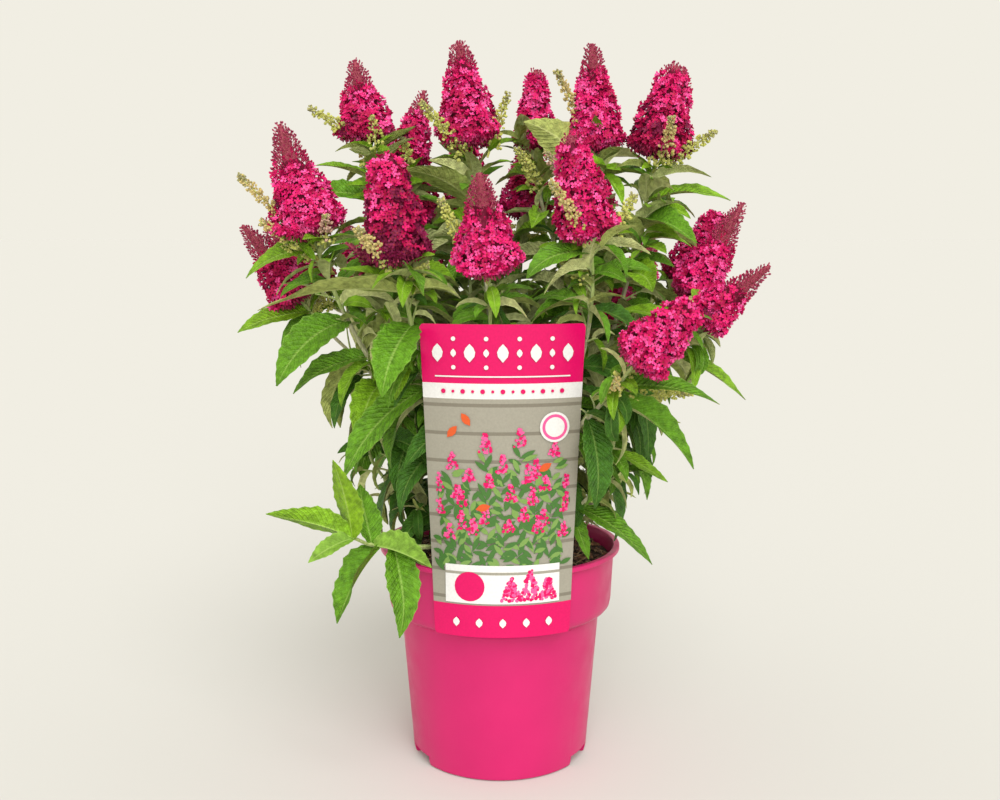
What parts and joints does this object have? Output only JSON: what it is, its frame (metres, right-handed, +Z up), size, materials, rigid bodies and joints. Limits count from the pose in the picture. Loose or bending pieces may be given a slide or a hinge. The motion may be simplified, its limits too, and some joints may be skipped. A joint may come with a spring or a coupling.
{
  "type": "potted butterfly bush",
  "caption": "Bushy flowering shrub with upright cones of magenta blossom and long opposite leaves, growing in a round pink nursery pot with a tall plant label.",
  "frame": {"origin": "centre of the pot's flat underside", "axes": "+Z up along the pot's axis, -Y towards the front, where the plant label faces"},
  "size_m": [0.39, 0.3368, 0.562],
  "materials": {
    "pot_plastic": "satin, blow moulded",
    "soil": "damp bark and peat crumbs",
    "label_card": "printed coated card",
    "stem_bark": "downy grey-green stems, brown woody foot",
    "foliage": "matte wrinkled leaves with pale undersides",
    "blossom": "dense small matte florets"
  },
  "bodies": {
    "root": {"pot": "pot_plastic", "potting_soil": "soil", "plant_label": "label_card", "stump": "stem_bark", "stem_left": "stem_bark", "stem_upper_left": "stem_bark", "stem_top": "stem_bark", "stem_front_left": "stem_bark", "stem_front": "stem_bark", "stem_upper_right": "stem_bark", "stem_front_right": "stem_bark", "stem_far_right": "stem_bark", "stem_right": "stem_bark", "stem_low_right": "stem_bark", "stem_back_1": "stem_bark", "stem_back_2": "stem_bark", "stem_back_3": "stem_bark", "stem_back_4": "stem_bark", "crown_left": "foliage", "crown_upper_left": "foliage", "crown_top": "foliage", "crown_front_left": "foliage", "crown_front": "foliage", "crown_upper_right": "foliage", "crown_front_right": "foliage", "crown_far_right": "foliage", "crown_right": "foliage", "crown_low_right": "foliage", "crown_back_1": "foliage", "crown_back_2": "foliage", "crown_back_3": "foliage", "crown_back_4": "foliage", "shoots_low_right": "foliage", "shoots_low_front": "foliage", "shoots_low_left": "foliage", "shoots_back_left": "foliage", "shoots_back": "foliage", "shoots_back_right": "foliage", "shoots_left": "foliage", "shoots_right": "foliage", "young_shoot": "foliage"}
  },
  "joints": []
}
